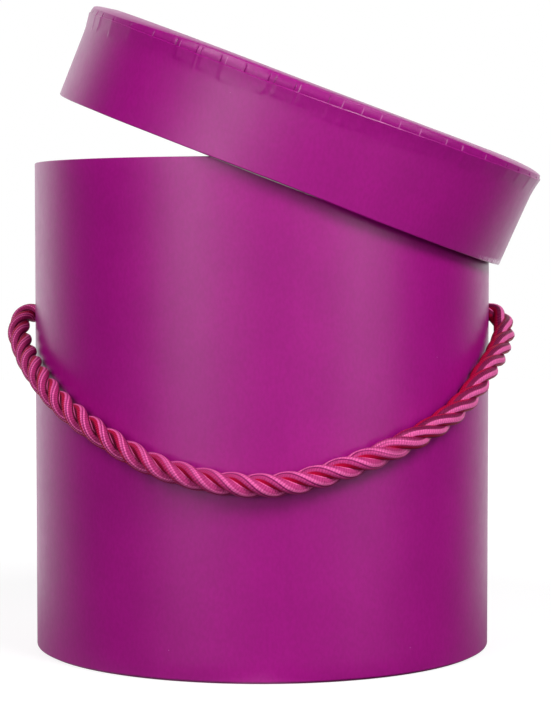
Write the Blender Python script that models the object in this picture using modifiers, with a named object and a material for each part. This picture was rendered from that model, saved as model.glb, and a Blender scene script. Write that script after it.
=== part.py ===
"""Flower gift box: a round paper-covered hat box with a lift-off lid and a twisted cord handle.

The lid stands ajar, hooked over the right of the rim, and the handle hangs down the front.
Metres, +Z up, the box's axis is the Z axis, its base stands at z = 0 and its front looks along -Y.
"""

import math

import bmesh
import bpy
import numpy as np
from mathutils import Matrix, Vector

# Papers and glue
PAPER = 0.0002
GLUE_GAP = 0.00025
REST_GAP = 0.0003

# Box
BOX_DIAMETER = 0.160
BOX_HEIGHT = 0.170
TUBE_WALL = 0.002
BASE_BOARD = 0.002
RIM_TURN_IN = 0.010
BASE_TURN_UNDER = 0.010
BASE_COVER_INSET = 0.0015

# Lid
LID_HEIGHT = 0.0334
LID_CLEARANCE = 0.0011
LID_WALL = 0.001
LID_BOARD = 0.002
LID_FLARE = 0.0005
LID_TURN_IN = 0.010
COVER_MARGIN = 0.009
WRAP_DROP = 0.003

# How the lid stands on the rim: right side down, then a little towards the front
LID_TILT = math.radians(20.96)
LID_LEAN = math.radians(3.88)
STEEPEST_TILT = math.radians(40)

# Cord handle
ROPE_DIAMETER = 0.008
HOLE_CLEARANCE = 0.0003
HOLE_HEIGHT = 0.1175
KNOT_DEPTH = 0.018
KNOT_WIDTH = 0.023
KNOT_TAIL = 0.019
KNOT_TAIL_DROP = math.radians(52)

# Fineness
ROUND_STEPS = 72
HOLE_SIDES = 24
ROPE_SIDE_STEPS = 3
ROPE_LONG_STEP = 0.0056
ROPE_TIGHT_STEP = 0.0018
ROPE_TIGHT_REACH = 0.012
KNOT_SEGMENTS = 20
KNOT_RINGS = 12
CUT_OVERRUN = 0.004
WELD = 0.00002
SOLVER_ROUNDS = 30
SOLVER_POINTS = 1440

# Sizes that follow from these
BOX_RADIUS = BOX_DIAMETER / 2
TUBE_OUTER = BOX_RADIUS - PAPER - GLUE_GAP
TUBE_INNER = TUBE_OUTER - TUBE_WALL
LINING_OUTER = TUBE_INNER - GLUE_GAP
LINING_INNER = LINING_OUTER - PAPER
WRAP_BOTTOM = PAPER + REST_GAP
TUBE_BOTTOM = WRAP_BOTTOM + PAPER + GLUE_GAP
TUBE_TOP = BOX_HEIGHT - PAPER - GLUE_GAP
BASE_DISC_TOP = TUBE_BOTTOM + BASE_BOARD
BASE_LINER_BOTTOM = BASE_DISC_TOP + GLUE_GAP

LID_INNER = BOX_RADIUS + LID_CLEARANCE
LID_LINING_OUTER = LID_INNER + PAPER
LID_WALL_INNER = LID_LINING_OUTER + GLUE_GAP
LID_WALL_OUTER = LID_WALL_INNER + LID_WALL
LID_WRAP_INNER = LID_WALL_OUTER + GLUE_GAP
LID_WRAP_OUTER = LID_WRAP_INNER + PAPER
LID_DISC_TOP = LID_HEIGHT - PAPER - GLUE_GAP
LID_DISC_BOTTOM = LID_DISC_TOP - LID_BOARD
LID_WALL_TOP = LID_DISC_BOTTOM - GLUE_GAP
LID_DEPTH = LID_WALL_TOP - PAPER

ROPE_RADIUS = ROPE_DIAMETER / 2
HOLE_RADIUS = ROPE_RADIUS + HOLE_CLEARANCE
ROPE_END = (TUBE_OUTER + TUBE_INNER) / 2
KNOT_CENTRE = LINING_INNER - REST_GAP - KNOT_DEPTH / 2

# The handle's middle line from the left hole to the right one, counted from the line through both holes
HANDLE_ROUTE = (
    (-0.0790, 0.0000, 0.0000),
    (-0.0806, 0.0000, 0.0000),
    (-0.0830, -0.0008, -0.0004),
    (-0.0847, -0.0031, -0.0017),
    (-0.0854, -0.0065, -0.0041),
    (-0.0852, -0.0110, -0.0071),
    (-0.0835, -0.0165, -0.0104),
    (-0.0812, -0.0233, -0.0142),
    (-0.0785, -0.0312, -0.0175),
    (-0.0730, -0.0426, -0.0232),
    (-0.0670, -0.0515, -0.0285),
    (-0.0602, -0.0593, -0.0332),
    (-0.0540, -0.0650, -0.0369),
    (-0.0434, -0.0725, -0.0428),
    (-0.0345, -0.0771, -0.0467),
    (-0.0263, -0.0803, -0.0491),
    (-0.0173, -0.0827, -0.0511),
    (-0.0093, -0.0840, -0.0521),
    (-0.0005, -0.0845, -0.0525),
    (0.0096, -0.0840, -0.0517),
    (0.0185, -0.0825, -0.0497),
    (0.0269, -0.0801, -0.0472),
    (0.0343, -0.0772, -0.0448),
    (0.0430, -0.0728, -0.0415),
    (0.0515, -0.0670, -0.0379),
    (0.0595, -0.0600, -0.0338),
    (0.0655, -0.0534, -0.0296),
    (0.0706, -0.0465, -0.0249),
    (0.0755, -0.0380, -0.0188),
    (0.0795, -0.0288, -0.0146),
    (0.0822, -0.0208, -0.0110),
    (0.0841, -0.0140, -0.0080),
    (0.0850, -0.0085, -0.0053),
    (0.0845, -0.0039, -0.0025),
    (0.0829, -0.0010, -0.0006),
    (0.0806, 0.0000, 0.0000),
    (0.0790, 0.0000, 0.0000),
)

COLLECTION = "flower_gift_box"
CUTTERS = "cutters"

# Finishes: colour, roughness
MAGENTA_PAPER = ("magenta_paper", (0.345, 0.004, 0.205), 0.42)
LINING_PAPER = ("lining_paper", (0.83, 0.80, 0.78), 0.75)
GREY_BOARD = ("grey_board", (0.42, 0.40, 0.37), 0.85)
SATIN_CORD = ("satin_cord", (0.62, 0.05, 0.25), 0.35)


def clear_scene():
    """Removes what the start-up scene holds."""
    for thing in list(bpy.data.objects):
        bpy.data.objects.remove(thing)


def collection_named(name):
    """A new collection in the scene."""
    found = bpy.data.collections.new(name)
    bpy.context.scene.collection.children.link(found)
    return found


def finish_named(node, finish):
    """A Principled material of a node's own."""
    name, colour, roughness = finish
    material = bpy.data.materials.new(node + "_" + name)
    material.use_nodes = True
    shader = material.node_tree.nodes["Principled BSDF"]
    shader.inputs["Base Color"].default_value = (*colour, 1)
    shader.inputs["Roughness"].default_value = roughness
    shader.inputs["Metallic"].default_value = 0
    return material


def added(name, data, parent, finish, parts):
    """A part's object, dressed, parented and linked."""
    part = bpy.data.objects.new(name, data)
    part.parent = parent
    part.data.materials.append(finish_named(name, finish))
    parts.objects.link(part)
    return part


def hidden(name, mesh, parent, cutters):
    """A helper that cuts or joins a part and isn't one itself."""
    helper = bpy.data.objects.new(name, mesh)
    helper.parent = parent
    helper.hide_render = True
    helper.display_type = "WIRE"
    cutters.objects.link(helper)
    return helper


def empty_at(name, place, turn, parts):
    """An empty that carries the pieces of a moving body."""
    empty = bpy.data.objects.new(name, None)
    empty.matrix_world = Matrix.Translation(place) @ turn.to_4x4()
    parts.objects.link(empty)
    return empty


def turned(name, outline, ring, parent, finish, parts):
    """A turned part: its outline at +X runs down its outer side, and the Screw carries it round.

    A ring's outline is a closed loop, and a disc's starts and ends on the axis.
    """
    mesh = bpy.data.meshes.new(name)
    count = len(outline)
    edges = [(i, (i + 1) % count) for i in range(count if ring else count - 1)]
    mesh.from_pydata([(radius, 0, height) for radius, height in outline], edges, [])
    part = added(name, mesh, parent, finish, parts)
    screw = part.modifiers.new("turn", "SCREW")
    screw.axis = "Z"
    screw.steps = ROUND_STEPS
    screw.render_steps = ROUND_STEPS
    screw.use_merge_vertices = True
    screw.merge_threshold = WELD
    screw.use_smooth_shade = True
    return part


def shaded(part):
    """Lets the flat faces keep their own shading beside the round ones."""
    part.modifiers.new("flats", "WEIGHTED_NORMAL")


def tube_outline(outer, inner, bottom, top):
    """A straight-walled ring's outline."""
    return [(outer, top), (outer, bottom), (inner, bottom), (inner, top)]


def disc_outline(radius, bottom, top):
    """A flat disc's outline."""
    return [(0, top), (radius, top), (radius, bottom), (0, bottom)]


def box_wrap_outline():
    """The box's outer paper: turned in over the rim and under the base."""
    inside = BOX_RADIUS - PAPER
    under = BOX_RADIUS - BASE_TURN_UNDER
    return [
        (BOX_RADIUS, BOX_HEIGHT),
        (BOX_RADIUS, WRAP_BOTTOM),
        (under, WRAP_BOTTOM),
        (under, WRAP_BOTTOM + PAPER),
        (inside, WRAP_BOTTOM + PAPER),
        (inside, BOX_HEIGHT - PAPER),
        (LINING_OUTER, BOX_HEIGHT - PAPER),
        (LINING_OUTER, BOX_HEIGHT - RIM_TURN_IN),
        (LINING_INNER, BOX_HEIGHT - RIM_TURN_IN),
        (LINING_INNER, BOX_HEIGHT),
    ]


def lid_wrap_outline():
    """The lid's side paper: flared over the cover's margin, and turned in under the lower edge."""
    top = LID_HEIGHT - WRAP_DROP
    return [
        (LID_WRAP_OUTER + LID_FLARE, top),
        (LID_WRAP_OUTER, 0),
        (LID_INNER, 0),
        (LID_INNER, LID_TURN_IN),
        (LID_LINING_OUTER, LID_TURN_IN),
        (LID_LINING_OUTER, PAPER),
        (LID_WRAP_INNER, PAPER),
        (LID_WRAP_INNER + LID_FLARE, top),
    ]


def lid_cover_outline():
    """The lid's top paper with its margin folded down round the disc."""
    return [
        (0, LID_HEIGHT),
        (LID_WRAP_OUTER, LID_HEIGHT),
        (LID_WRAP_OUTER, LID_HEIGHT - COVER_MARGIN),
        (LID_WRAP_INNER, LID_HEIGHT - COVER_MARGIN),
        (LID_WRAP_INNER, LID_HEIGHT - PAPER),
        (0, LID_HEIGHT - PAPER),
    ]


def lid_turn(tilt):
    """The lid's turn at a tilt."""
    return np.array(Matrix.Rotation(tilt, 3, "Y") @ Matrix.Rotation(LID_LEAN, 3, "X"))


def circle_points(radius, height):
    """Points round a level circle."""
    angle = np.linspace(0, 2 * math.pi, SOLVER_POINTS, endpoint=False)
    circle = [radius * np.sin(angle), -radius * np.cos(angle), np.full(SOLVER_POINTS, height)]
    return np.stack(circle, axis=1)


def settled_height(rim, turn, across, forward):
    """How high the lid's lower edge lies when its underside rests on the rim."""
    up = turn[:, 2]
    roof = LID_DEPTH - REST_GAP
    return ((rim @ up).max() - roof - across * up[0] - forward * up[1]) / up[2]


def skirt_reach(rim, turn, across, forward):
    """How far out the rim reaches inside the lid's skirt, (at the front, at the back)."""
    place = np.array([across, forward, settled_height(rim, turn, across, forward)])
    local = (rim - place) @ turn
    reach = np.where(local[:, 2] > 0, np.hypot(local[:, 0], local[:, 1]), 0)
    return reach[rim[:, 1] < 0].max(), reach[rim[:, 1] >= 0].max()


def halved(low, high, too_far):
    """The last place before too_far turns true and the first after, between low and high."""
    for _ in range(SOLVER_ROUNDS):
        middle = (low + high) / 2
        if too_far(middle):
            high = middle
        else:
            low = middle
    return low, high


def lid_place(turn):
    """Where the lid comes to rest: on the rim at its right, and caught by its skirt at front and back."""
    rim = circle_points(BOX_RADIUS, BOX_HEIGHT)
    span = BOX_RADIUS / 2

    def balanced(across):
        def front_leads(forward):
            front, back = skirt_reach(rim, turn, across, forward)
            return front > back

        return halved(-span, span, front_leads)[0]

    def caught(across):
        return max(skirt_reach(rim, turn, across, balanced(across))) > LID_INNER - REST_GAP

    across = halved(0, span, caught)[0]
    forward = balanced(across)
    return np.array([across, forward, settled_height(rim, turn, across, forward)])


def clears_wall(tilt):
    """Whether the lid's lower edge stays clear of the box's wall at a tilt."""
    turn = lid_turn(tilt)
    edge = circle_points(LID_INNER, 0) @ turn.T + lid_place(turn)
    below = edge[edge[:, 2] < BOX_HEIGHT]
    return np.hypot(below[:, 0], below[:, 1]).min() > BOX_RADIUS + REST_GAP / 2


def lid_pose():
    """The lid's turn and place at rest, tilted further only where its lower edge would meet the wall."""
    tilt = LID_TILT if clears_wall(LID_TILT) else halved(LID_TILT, STEEPEST_TILT, clears_wall)[1]
    turn = lid_turn(tilt)
    return turn, lid_place(turn)


def smooth_route(points):
    """A smooth line through the route's points, finely divided, as an array."""
    given = np.array(points, float)
    given = np.vstack([2 * given[0] - given[1], given, 2 * given[-1] - given[-2]])
    share = np.linspace(0, 1, 24, endpoint=False)[:, None]
    line = []
    for before, start, end, after in zip(given, given[1:], given[2:], given[3:]):
        leave = (end - before) / 2
        arrive = (after - start) / 2
        line.append(
            (2 * share**3 - 3 * share**2 + 1) * start
            + (share**3 - 2 * share**2 + share) * leave
            + (3 * share**2 - 2 * share**3) * end
            + (share**3 - share**2) * arrive
        )
    return np.vstack([*line, given[-2:-1]])


def stepped(line):
    """The line's points as the tube takes them: close together at both ends, where it bends most."""
    along = np.concatenate([[0], np.cumsum(np.linalg.norm(np.diff(line, axis=0), axis=1))])
    tight = np.arange(0, ROPE_TIGHT_REACH, ROPE_TIGHT_STEP)
    middle = along[-1] - 2 * ROPE_TIGHT_REACH
    long = np.linspace(0, middle, math.ceil(middle / ROPE_LONG_STEP) + 1) + ROPE_TIGHT_REACH
    places = np.concatenate([tight, long, (along[-1] - tight)[::-1]])
    return np.stack([np.interp(places, along, line[:, k]) for k in range(3)], axis=1)


def least_gap(line):
    """The least distance between stretches of the tube's surface that aren't neighbours."""
    along = np.concatenate([[0], np.cumsum(np.linalg.norm(np.diff(line, axis=0), axis=1))])
    apart = np.linalg.norm(line[:, None] - line[None], axis=2)
    neighbours = np.abs(along[:, None] - along[None]) < 2 * ROPE_DIAMETER
    return float(np.where(neighbours, np.inf, apart).min() - ROPE_DIAMETER)


def rope(parent, parts):
    """The handle's free length, from inside one wall to inside the other."""
    line = stepped(smooth_route(HANDLE_ROUTE))
    curve = bpy.data.curves.new("rope_handle", "CURVE")
    curve.dimensions = "3D"
    curve.bevel_depth = ROPE_RADIUS
    curve.bevel_resolution = ROPE_SIDE_STEPS
    curve.use_fill_caps = True
    spline = curve.splines.new("POLY")
    spline.points.add(len(line) - 1)
    spline.points.foreach_set("co", np.hstack([line, np.ones((len(line), 1))]).ravel())
    added("rope_handle", curve, parent, SATIN_CORD, parts)
    length = np.linalg.norm(np.diff(line, axis=0), axis=1).sum()
    print(f"rope: {len(line)} points, {length:.4f} m, least gap to itself {least_gap(line):.4f} m")


def rod_mesh(name, start, end, radius):
    """A round bar between two points."""
    run = end - start
    mesh = bpy.data.meshes.new(name)
    shape = bmesh.new()
    place = Matrix.Translation((start + end) / 2) @ run.to_track_quat("Z", "X").to_matrix().to_4x4()
    bmesh.ops.create_cone(
        shape,
        cap_ends=True,
        segments=HOLE_SIDES,
        radius1=radius,
        radius2=radius,
        depth=run.length,
        matrix=place,
    )
    shape.to_mesh(mesh)
    shape.free()
    return mesh


def joined(part, helper, operation):
    """Gives a part a Boolean with a helper."""
    boolean = part.modifiers.new(helper.name, "BOOLEAN")
    boolean.operation = operation
    boolean.object = helper
    boolean.solver = "EXACT"


def knot(name, side, parent, parts, cutters):
    """The stopper knot inside a hole: a tight bunch of cord with its neck in the wall and a short tail."""
    mesh = bpy.data.meshes.new(name)
    shape = bmesh.new()
    size = Matrix.Diagonal((KNOT_DEPTH, KNOT_WIDTH, KNOT_WIDTH, 1))
    centre = Vector((side * KNOT_CENTRE, 0, 0))
    bmesh.ops.create_uvsphere(
        shape,
        u_segments=KNOT_SEGMENTS,
        v_segments=KNOT_RINGS,
        radius=1 / 2,
        matrix=Matrix.Translation(centre) @ size,
    )
    shape.to_mesh(mesh)
    shape.free()
    part = added(name, mesh, parent, SATIN_CORD, parts)
    neck_end = Vector((side * (ROPE_END - REST_GAP), 0, 0))
    tail_way = Vector((-side * math.cos(KNOT_TAIL_DROP), 0, -math.sin(KNOT_TAIL_DROP)))
    neck = hidden(name + "_neck", rod_mesh(name + "_neck", centre, neck_end, ROPE_RADIUS), parent, cutters)
    tail_mesh = rod_mesh(name + "_tail", centre, centre + tail_way * KNOT_TAIL, ROPE_RADIUS)
    tail = hidden(name + "_tail", tail_mesh, parent, cutters)
    joined(part, neck, "UNION")
    joined(part, tail, "UNION")
    shaded(part)


def handle(parts, cutters):
    """The cord handle, which swings about the line through its holes."""
    axis = empty_at("handle_axis", Vector((0, 0, HOLE_HEIGHT)), Matrix.Identity(3), parts)
    rope(axis, parts)
    knot("left_knot", -1, axis, parts, cutters)
    knot("right_knot", 1, axis, parts, cutters)


def box(parts, cutters):
    """The box's tube, papers and base, with the two cord holes through its wall."""
    reach = Vector((BOX_RADIUS + CUT_OVERRUN, 0, 0))
    at_holes = Vector((0, 0, HOLE_HEIGHT))
    bore_mesh = rod_mesh("cord_holes", at_holes - reach, at_holes + reach, HOLE_RADIUS)
    bore = hidden("cord_holes", bore_mesh, None, cutters)
    lining_top = BOX_HEIGHT - RIM_TURN_IN - GLUE_GAP
    tube = tube_outline(TUBE_OUTER, TUBE_INNER, TUBE_BOTTOM, TUBE_TOP)
    lining = tube_outline(LINING_OUTER, LINING_INNER, BASE_LINER_BOTTOM, lining_top)
    walls = (
        turned("body_wrap", box_wrap_outline(), True, None, MAGENTA_PAPER, parts),
        turned("body_tube", tube, True, None, GREY_BOARD, parts),
        turned("body_lining", lining, True, None, LINING_PAPER, parts),
    )
    for wall in walls:
        joined(wall, bore, "DIFFERENCE")
        shaded(wall)
    base_disc = disc_outline(TUBE_INNER - GLUE_GAP, TUBE_BOTTOM, BASE_DISC_TOP)
    base_cover = disc_outline(BOX_RADIUS - BASE_COVER_INSET, 0, PAPER)
    base_liner = disc_outline(LINING_INNER - GLUE_GAP, BASE_LINER_BOTTOM, BASE_LINER_BOTTOM + PAPER)
    shaded(turned("base_disc", base_disc, False, None, GREY_BOARD, parts))
    shaded(turned("base_cover", base_cover, False, None, MAGENTA_PAPER, parts))
    shaded(turned("base_liner", base_liner, False, None, LINING_PAPER, parts))


def lid(parts):
    """The lid's ring, disc and papers, standing ajar on the rim."""
    turn, place = lid_pose()
    frame = empty_at("lid_frame", Vector(place), Matrix(turn), parts)
    wall = tube_outline(LID_WALL_OUTER, LID_WALL_INNER, PAPER + GLUE_GAP, LID_WALL_TOP)
    lining = tube_outline(LID_LINING_OUTER, LID_INNER, LID_TURN_IN + GLUE_GAP, LID_DEPTH - GLUE_GAP)
    disc = disc_outline(LID_WALL_OUTER, LID_DISC_BOTTOM, LID_DISC_TOP)
    liner = disc_outline(LID_WALL_INNER - GLUE_GAP, LID_DEPTH, LID_WALL_TOP)
    shaded(turned("lid_wall", wall, True, frame, GREY_BOARD, parts))
    shaded(turned("lid_disc", disc, False, frame, GREY_BOARD, parts))
    shaded(turned("lid_top_cover", lid_cover_outline(), False, frame, MAGENTA_PAPER, parts))
    shaded(turned("lid_side_wrap", lid_wrap_outline(), True, frame, MAGENTA_PAPER, parts))
    shaded(turned("lid_lining", lining, True, frame, LINING_PAPER, parts))
    shaded(turned("lid_disc_liner", liner, False, frame, LINING_PAPER, parts))
    print("lid rests at", [round(value, 5) for value in place])


def main():
    """Makes the whole box."""
    clear_scene()
    parts = collection_named(COLLECTION)
    cutters = collection_named(CUTTERS)
    box(parts, cutters)
    lid(parts)
    handle(parts, cutters)
    bpy.context.view_layer.update()


main()
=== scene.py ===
"""Looks of the flower gift box: its papers, linings and boards, the twisted cord, and the studio round it.

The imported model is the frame. Lengths are in metres. Round pieces are turned about the Z axis, and an
angle round them counts from the front, -Y, towards the right, +X.
"""

import logging
import math
import random
from collections.abc import Callable, Sequence
from dataclasses import dataclass, field
from enum import Enum
from itertools import pairwise

import bpy
import numpy as np
from mathutils import Matrix, Vector


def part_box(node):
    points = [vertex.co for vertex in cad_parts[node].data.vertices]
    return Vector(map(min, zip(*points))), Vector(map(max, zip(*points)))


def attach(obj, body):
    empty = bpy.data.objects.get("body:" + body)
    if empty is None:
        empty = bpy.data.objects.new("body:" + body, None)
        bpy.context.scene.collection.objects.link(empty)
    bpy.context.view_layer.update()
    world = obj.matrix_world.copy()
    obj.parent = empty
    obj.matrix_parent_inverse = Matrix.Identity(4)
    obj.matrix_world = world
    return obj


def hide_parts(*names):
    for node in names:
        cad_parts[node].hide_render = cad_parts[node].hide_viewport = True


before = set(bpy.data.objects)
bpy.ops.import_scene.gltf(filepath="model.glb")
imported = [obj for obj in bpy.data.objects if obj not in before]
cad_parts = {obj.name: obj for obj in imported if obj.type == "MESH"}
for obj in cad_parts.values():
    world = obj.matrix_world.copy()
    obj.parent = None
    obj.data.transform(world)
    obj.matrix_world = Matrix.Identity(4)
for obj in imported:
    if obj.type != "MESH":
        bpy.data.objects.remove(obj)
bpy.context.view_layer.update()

log = logging.getLogger("flower_gift_box")

MM = 0.001
PAPER = 0.2 * MM
GLUE_GAP = 0.25 * MM
# The radius of the small face in a disc's middle
HEART = 1 * MM
WHITE = (1, 1, 1)

Piece = bpy.types.Object
Socket = bpy.types.NodeSocket
Numbers = np.ndarray
Colour = tuple[float, float, float]
Band = tuple[float, float, Colour]
Outline = Sequence[tuple[float, float]]
Spots = tuple[Numbers, Numbers, Numbers]
Mover = Callable[[Numbers, Numbers, Numbers], Spots]


class Body(Enum):
    """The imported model's moving bodies."""

    BOX = "box"
    LID = "lid"
    HANDLE = "handle"


class Slot(Enum):
    """The record's material slots."""

    PAPER = "magenta_paper"
    LINING = "lining_paper"
    BOARD = "grey_board"
    CORD = "satin_cord"


# Materials


@dataclass
class NodePen:
    """Writes the nodes of a material or a world.

    Args:
        owner: The material or world.
    """

    owner: bpy.types.Material | bpy.types.World

    def __post_init__(self) -> None:
        """Switches the owner's nodes on."""
        self.owner.use_nodes = True

    def put(self, value: object, target: Socket) -> None:
        """Feeds a socket from another one, or with a number, a vector or a colour."""
        if isinstance(value, Socket):
            self.owner.node_tree.links.new(value, target)
        else:
            target.default_value = (*value, 1) if target.type == "RGBA" else value

    def node(self, kind: str, **settings: object) -> bpy.types.Node:
        """Adds a node.

        Args:
            kind: The node's type, without its ShaderNode prefix.
            settings: Properties, or inputs where the key is in_ with the input's name or number.

        Returns:
            The node.
        """
        made = self.owner.node_tree.nodes.new("ShaderNode" + kind)
        for key, value in settings.items():
            if key.startswith("in_"):
                name = key[3:].replace("_", " ")
                self.put(value, made.inputs[int(name) if name.isdigit() else name])
            else:
                setattr(made, key, value)
        return made

    def shade(self, **inputs: object) -> None:
        """Feeds the inputs of a material's shader."""
        shader = self.owner.node_tree.nodes["Principled BSDF"]
        for name, value in inputs.items():
            self.put(value, shader.inputs[name.replace("_", " ")])

    def place(self, stretch: tuple[float, float, float] = (1, 1, 1)) -> Socket:
        """The piece's own coordinates, stretched along the axes."""
        spot = self.node("TexCoord").outputs["Object"]
        return self.node("Mapping", in_Vector=spot, in_Scale=stretch).outputs["Vector"]

    def noise(self, vector: Socket, scale: float, detail: float = 3) -> Socket:
        """Noise of a scale on some coordinates."""
        return self.node("TexNoise", in_Vector=vector, in_Scale=scale, in_Detail=detail).outputs["Fac"]

    def spread(
        self, value: Socket, low: float, high: float, start: float = 0.3, end: float = 0.7, kind: str = "LINEAR"
    ) -> Socket:
        """A value carried from start..end to low..high, held at both ends."""
        sizes = {"in_From_Min": start, "in_From_Max": end, "in_To_Min": low, "in_To_Max": high}
        return self.node("MapRange", interpolation_type=kind, in_Value=value, **sizes).outputs["Result"]

    def sum(self, first: Socket, second: Socket | float, kind: str = "ADD") -> Socket:
        """Two values put together by a kind of sum."""
        return self.node("Math", operation=kind, in_0=first, in_1=second).outputs["Value"]

    def blend(self, share: Socket, first: Socket | Colour, second: Socket | Colour) -> Socket:
        """Two colours blended by a share."""
        return self.node("Mix", data_type="RGBA", in_0=share, in_6=first, in_7=second).outputs[2]

    def towards(self, vector: Socket, way: tuple[float, float, float]) -> Socket:
        """How far a vector goes towards a way."""
        return self.node("VectorMath", operation="DOT_PRODUCT", in_0=vector, in_1=way).outputs["Value"]

    def ramp(self, place: Socket, bands: Sequence[Band]) -> Socket:
        """A colour by a place in turns, from bands that each run from one angle to another, in degrees."""
        ramp = self.node("ValToRGB", in_Fac=place)
        ends = [(angle, colour) for start, end, colour in bands for angle in sorted({start, end})]
        stops = ramp.color_ramp.elements
        while len(stops) < len(ends):
            stops.new(1)
        for stop, (angle, colour) in zip(stops, ends):
            stop.position = 0.5 + angle / 360
            stop.color = (*colour, 1)
        return ramp.outputs["Color"]

    def glowing(self, tone: float, glow: Socket) -> Socket:
        """A grey surface of a tone, which also glows."""
        plain = self.node("BsdfDiffuse", in_Color=(tone, tone, tone)).outputs["BSDF"]
        light = self.node("Emission", in_Color=WHITE, in_Strength=glow).outputs["Emission"]
        return self.node("AddShader", in_0=plain, in_1=light).outputs["Shader"]

    def show(self, lit: Socket, seen: Socket) -> None:
        """Replaces the owner's first shader by one that lights the scene and one that the camera sees."""
        rays = self.node("LightPath").outputs
        looking = self.sum(rays["Is Camera Ray"], rays["Is Transmission Ray"], "MAXIMUM")
        end = next(node for node in self.owner.node_tree.nodes if "OUTPUT" in node.type).inputs["Surface"]
        self.owner.node_tree.nodes.remove(end.links[0].from_node)
        self.put(self.node("MixShader", in_0=looking, in_1=lit, in_2=seen).outputs["Shader"], end)

    def bump(self, height: Socket, depth: float, strength: float = 1) -> None:
        """Gives a material's shader a relief of a depth."""
        relief = self.node("Bump", in_Strength=strength, in_Distance=depth, in_Height=height)
        self.shade(Normal=relief.outputs["Normal"])


def new_material(name: str) -> NodePen:
    """A pen on a new material."""
    return NodePen(bpy.data.materials.new(name))


def scaled(colour: Colour, share: float) -> Colour:
    """A colour made darker or lighter."""
    return tuple(share * part for part in colour)


@dataclass(frozen=True)
class CoverPaper:
    """Satin magenta cover paper, with a fine fibre, faint mottling and a few pale specks.

    Args:
        colour: Its colour under plain light.
        deep: The colour between its fibres.
        dark: The colour in a dark cut, a painted shade.
        core: The colour of its bared core.
        rubbed: The colour of its rubbed spots and specks.
        sheen: Its roughness, from its shiniest to its dullest spots.
        fibre: The size of its fibre.
        specks: How far apart its specks may lie.
        density: How strongly its varnish bends light.
        relief: The depth of its fibre.
    """

    colour: Colour = (0.347, 0.0025, 0.211)
    deep: Colour = (0.2, 0.001, 0.12)
    dark: Colour = (0.06, 0.001, 0.04)
    core: Colour = (0.78, 0.36, 0.63)
    rubbed: Colour = (0.78, 0.55, 0.72)
    sheen: tuple[float, float] = (0.34, 0.38)
    fibre: float = 0.35 * MM
    specks: float = 9 * MM
    density: float = 1.42
    relief: float = 0.006 * MM

    def material(self, name: str) -> bpy.types.Material:
        """Its material. The attribute "crease" is 1 in a dark cut, which gets painted shade, and -1 in a pale one,
        which shows the bared core, and "wear" is 1 if rubbed.
        """
        pen = new_material(name)
        place = pen.place()
        mottle = pen.spread(pen.noise(place, 55, 4), 0, 1)
        shade = pen.blend(mottle, scaled(self.colour, 0.94), scaled(self.colour, 1.05))
        fine = pen.spread(pen.noise(pen.place((1, 1, 0.6)), 1000, 4), 0, 0.26, 0.35, 0.65)
        shade = pen.blend(fine, shade, self.deep)
        cut_shade_and_core = pen.node("Attribute", attribute_name="cut_shade_and_core").outputs["Fac"]
        # Painted shade in the dark cuts, and the bared core in the pale ones
        shade = pen.blend(pen.spread(cut_shade_and_core, 0, 0.5, 0, 1), shade, self.dark)
        shade = pen.blend(pen.spread(cut_shade_and_core, 0.3, 0, -1, 0), shade, self.core)
        wear = pen.node("Attribute", attribute_name="wear").outputs["Fac"]
        rub = pen.sum(wear, pen.spread(pen.noise(place, 900), 0.2, 1.4), "MULTIPLY")
        cells = pen.node("TexVoronoi", in_Vector=place, in_Scale=1 / self.specks)
        near = pen.spread(cells.outputs["Distance"], 1, 0, 0.012, 0.026)
        chosen = pen.spread(cells.outputs["Color"], 0, 0.5, 0.6, 0.62)
        pale = pen.sum(rub, pen.sum(near, chosen, "MULTIPLY"), "MAXIMUM")
        grain = pen.noise(pen.place((1, 1, 0.45)), 1 / self.fibre, 2)
        pen.shade(
            Base_Color=pen.blend(pen.spread(pale, 0, 0.9, 0.15, 1), shade, self.rubbed),
            Roughness=pen.spread(pen.noise(place, 240, 2), *self.sheen),
            IOR=self.density,
        )
        pen.bump(pen.sum(grain, pen.noise(place, 420, 2)), self.relief)
        return pen.owner


@dataclass(frozen=True)
class RawEdge:
    """The white core of the cover paper where it was cut.

    Args:
        colour: Its colour.
        stained: Its colour where it is stained by the paper's face.
        sheen: Its roughness.
        gloss: Its gloss.
    """

    colour: Colour = (0.86, 0.62, 0.8)
    stained: Colour = (0.76, 0.4, 0.66)
    sheen: float = 0.8
    gloss: float = 0.3

    def material(self, name: str) -> bpy.types.Material:
        """Its material."""
        pen = new_material(name)
        fray = pen.spread(pen.noise(pen.place(), 700, 3), 0, 1)
        colour = pen.blend(fray, self.stained, self.colour)
        pen.shade(Base_Color=colour, Roughness=self.sheen, Specular_IOR_Level=self.gloss)
        return pen.owner


@dataclass(frozen=True)
class LiningPaper:
    """Plain off-white lining paper with a dull face and a soft fibre.

    Args:
        colour: Its colour.
        sheen: Its roughness, from its shiniest to its dullest spots.
        relief: The depth of its fibre.
    """

    colour: Colour = (0.83, 0.8, 0.77)
    sheen: tuple[float, float] = (0.7, 0.85)
    relief: float = 0.02 * MM

    def material(self, name: str) -> bpy.types.Material:
        """Its material."""
        pen = new_material(name)
        place = pen.place()
        cloud = pen.spread(pen.noise(place, 90, 5), 0, 1)
        colour = pen.blend(cloud, scaled(self.colour, 0.93), self.colour)
        pen.shade(Base_Color=colour, Roughness=pen.spread(pen.noise(place, 300), *self.sheen))
        pen.bump(pen.noise(pen.place((1, 1, 0.4)), 2200, 3), self.relief)
        return pen.owner


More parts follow.
